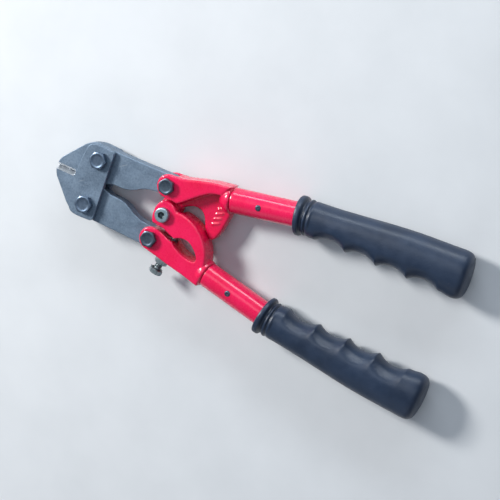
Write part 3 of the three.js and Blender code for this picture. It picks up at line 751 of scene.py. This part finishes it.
def tube_pin(side_name, side):
    """Riveted cross pin: low domed ends with a small centre dimple."""
    reach = TUBE_RADIUS + PIN_STANDS_OUT
    end = [(0.3, reach - 0.35), (0.7, reach - 0.02), (1.3, reach), (1.9, reach - 0.12), (2.3, reach - 0.35),
           (PIN_RADIUS, reach - 0.7)]
    rings = [(r, -z) for r, z in end] + [(PIN_RADIUS, 0.0)] + list(reversed(end))
    at, body = Vector((PIN_AT.x, side * PIN_AT.y)), side_name + "_handle"
    mesh = radial(rings, CIRCLE_STEPS)
    fastener("riveted_pin_" + side_name, "tube_pin_" + side_name, mesh, at, body, LINK_BOLT)


def grip_back(station):
    """How far the skin reaches behind the line."""
    return 14.2 + 5.0 * smoothstep(station, 10, 105)


def grip_front(station):
    """How far the skin reaches on the finger side, before the grooves are scooped from it."""
    return 14.4 + 3.4 * smoothstep(station, 10, 110) + 1.6 * smoothstep(station, 126, 136)


def groove_depth(station):
    """Depth of the finger grooves: four scoops with narrow rounded ridges between them."""
    along = (station - FIRST_GROOVE) / GROOVE_PITCH
    if along <= 0 or along >= GROOVES:
        return 0.0
    phase = 2 * (along - math.floor(along)) - 1
    return GROOVE_DEPTH * (1 - abs(phase) ** 2.2)


def grip_thickness(station):
    """How far the skin reaches above and below the line."""
    return 13.4 + 1.0 * smoothstep(station, 10, 90)


def grip_point(station, factor, angle):
    """A point of the skin, a full oval with a moulding line. Angle 0 faces the fingers."""
    across, up = math.cos(angle), math.sin(angle)
    fullness, seam_height, seam_width = 2.25, 0.16, 0.03
    norm = (abs(across) ** fullness + abs(up) ** fullness) ** (1 / fullness)
    across, up = across / norm, up / norm
    if across > 0:
        scoop = groove_depth(station) * smoothstep(across, 0.05, 0.8)
        reach = grip_front(station) * across - scoop
    else:
        reach = grip_back(station) * across
    line = seam_height * math.exp(-((up / seam_width) ** 2)) * (1 if across > 0 else -1)
    return ((reach + line) * factor, up * grip_thickness(station) * factor, station)


def round_rings(length):
    """(radius, station) of the grip's round rings: the blind bore, then the collar and its bead."""
    bore = TUBE_RADIUS + 0.12
    lining = [(bore, length - GRIP_END_WALL), (bore, 30.0), (bore, 1.2), (11.0, 0.4)]
    collar = [(11.8, 0.25), (12.4, 0.0), (14.6, 0.0), (15.4, 0.25), (15.85, 0.8), (16.0, 1.6), (16.0, 3.0),
              (15.85, 3.7), (15.4, 4.3), (14.7, 4.7), (13.9, 5.0), (13.45, 5.5), (13.3, 6.2), (13.4, 6.9),
              (13.9, 7.4), (14.35, 7.7), (14.6, 8.2), (14.6, 8.8), (14.35, 9.3), (13.9, 9.6), (13.55, 10.0),
              (13.5, 10.5), (13.75, 11.0), (14.15, 11.4), (14.3, 12.0), (14.3, 12.6)]
    return lining + collar


def skin_rings(length):
    """(share of the full section, station) of the rings along the outside and over the rounded end."""
    body_length = length - (GRIP_BODY_START + GRIP_CAP)
    body = [(1.0, GRIP_BODY_START + GRIP_BODY_STEP * k) for k in range(int(body_length / GRIP_BODY_STEP))]
    cap = [(1.0, 9.2), (0.995, 7.5), (0.985, 6), (0.965, 4.6), (0.935, 3.4), (0.89, 2.3), (0.83, 1.4),
           (0.75, 0.75), (0.62, 0.3), (0.45, 0.08), (0.25, 0.0), (0.1, 0.0)]
    return body + [(share, length - back) for share, back in cap]


def grip_mesh(length):
    """The grip from the floor of its bore to its end, each closed by a point."""
    angles = [TAU * i / GRIP_COUNT for i in range(GRIP_COUNT)]
    vertices = [(radius * math.cos(a), radius * math.sin(a), station)
                for radius, station in round_rings(length) for a in angles]
    vertices += [grip_point(station, share, a) for share, station in skin_rings(length) for a in angles]
    faces = []
    last = len(vertices) - GRIP_COUNT
    for ring in range(0, last, GRIP_COUNT):
        faces += ring_band(ring, ring + GRIP_COUNT, GRIP_COUNT)
    for ring, station in ((0, length - GRIP_END_WALL), (last, length)):
        faces += [(ring + i, ring + (i + 1) % GRIP_COUNT, len(vertices)) for i in range(GRIP_COUNT)]
        vertices.append((0, 0, station))
    return vertices, faces


def grip(side_name, side):
    vertices, faces = grip_mesh(LINE.length_to_end() - GRIP_START)
    placed = along_handle(vertices, GRIP_START, side)
    piece = new_piece("moulded_grip_" + side_name, placed, faces, RUBBER, smooth_angle=60)
    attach(piece, side_name + "_handle")
    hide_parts("grip_" + side_name)


# ---------------------------------------------------------------- stage, light and camera

def floor():
    size = 3.0
    corners = [(-size, -size, 0), (size, -size, 0), (size, size, 0), (-size, size, 0)]
    mesh = bpy.data.meshes.new("floor")
    mesh.from_pydata(corners, [], [(0, 1, 2, 3)])
    piece = bpy.data.objects.new("floor", mesh)
    bpy.context.scene.collection.objects.link(piece)
    s = Shade("pale_floor", Roughness=0.75)
    color = s.blend(s.span(s.noise(60, 3), 0.3, 0.7), rgb(0.6, 0.62, 0.64), rgb(0.64, 0.66, 0.68))
    mesh.materials.append(s.finish(color))


def area_light(name, at, aim, size, watts, color):
    data = bpy.data.lights.new(name, "AREA")
    data.shape = "RECTANGLE"
    data.size, data.size_y = size
    data.energy = watts
    data.color = color
    light = bpy.data.objects.new(name, data)
    light.location = at
    light.rotation_mode = "QUATERNION"
    light.rotation_quaternion = (Vector(aim) - Vector(at)).to_track_quat("-Z", "Y")
    bpy.context.scene.collection.objects.link(light)


def lights():
    aim = (0.0, 0.0, 0.0)
    area_light("key", (-1.4, 0.4, 1.05), aim, (0.4, 0.4), 38, (1.0, 0.99, 0.97))
    area_light("fill", (0.2, -1.3, 0.9), aim, (1.2, 1.0), 1.5, (0.85, 0.92, 1.0))
    area_light("top", (0.1, 0.4, 1.6), aim, (1.5, 0.6), 4, (0.8, 0.9, 1.0))
    area_light("strip", (-0.2, 1.5, 0.6), aim, (1.7, 0.3), 15, (0.85, 0.93, 1.0))
    world = bpy.data.worlds.new("studio")
    world.use_nodes = True
    background = world.node_tree.nodes["Background"]
    background.inputs["Color"].default_value = rgb(0.78, 0.86, 1.0)
    background.inputs["Strength"].default_value = 0.24
    bpy.context.scene.world = world


def film():
    """Plain sRGB, so that the saturated paint isn't washed out."""
    bpy.context.scene.view_settings.view_transform = "Standard"


def camera():
    """Looks down on the tool from 23 degrees off its upright, leaning to the grips and the upper lever.
    The tool's length runs 24.5 degrees downhill to the right."""
    lean, tilt, slope = math.radians(42), math.radians(23), math.radians(24.5)
    back = Vector((math.sin(tilt) * math.cos(lean), math.sin(tilt) * math.sin(lean), math.cos(tilt)))
    length_run = Vector((1, 0, 0))
    length_run = (length_run - back * length_run.dot(back)).normalized()
    right = Matrix.Rotation(slope, 3, back) @ length_run
    up = back.cross(right)
    data = bpy.data.cameras.new("camera")
    data.sensor_width = 36
    data.lens = 150
    item = bpy.data.objects.new("camera", data)
    distance = 1.65
    aim = Vector((0.002, 0.0, 0.014))
    turn = Matrix((right, up, back)).transposed().to_4x4()
    item.matrix_world = Matrix.Translation(aim + back * distance) @ turn
    bpy.context.scene.collection.objects.link(item)
    bpy.context.scene.camera = item


# ---------------------------------------------------------------- assembly

camera()
film()
lights()
floor()

head_plate("head_plate_top", PLATE_LOW, SEAT_Z)
head_plate("head_plate_bottom", -SEAT_Z, -PLATE_LOW)
for side_name, side in (("upper", 1), ("lower", -1)):
    jaw_bolt_at = Vector((JAW_PIVOT.x, side * JAW_PIVOT.y))
    link_bolt_at = Vector((LINK_PIVOT.x, side * LINK_PIVOT.y))
    jaw(side_name, side)
    pivot_stack("jaw", side_name, jaw_bolt_at, "head", JAW_HEX, HEAD_BOLT, turn=0.2 + 0.5 * side)
    pivot_stack("link", side_name, link_bolt_at, side_name + "_handle", LINK_HEX, LINK_BOLT, turn=0.35 * side)
    cast_lever(side_name)
    steel_tube(side_name, side)
    tube_pin(side_name, side)
    grip(side_name, side)
centre_stack()
adjuster()
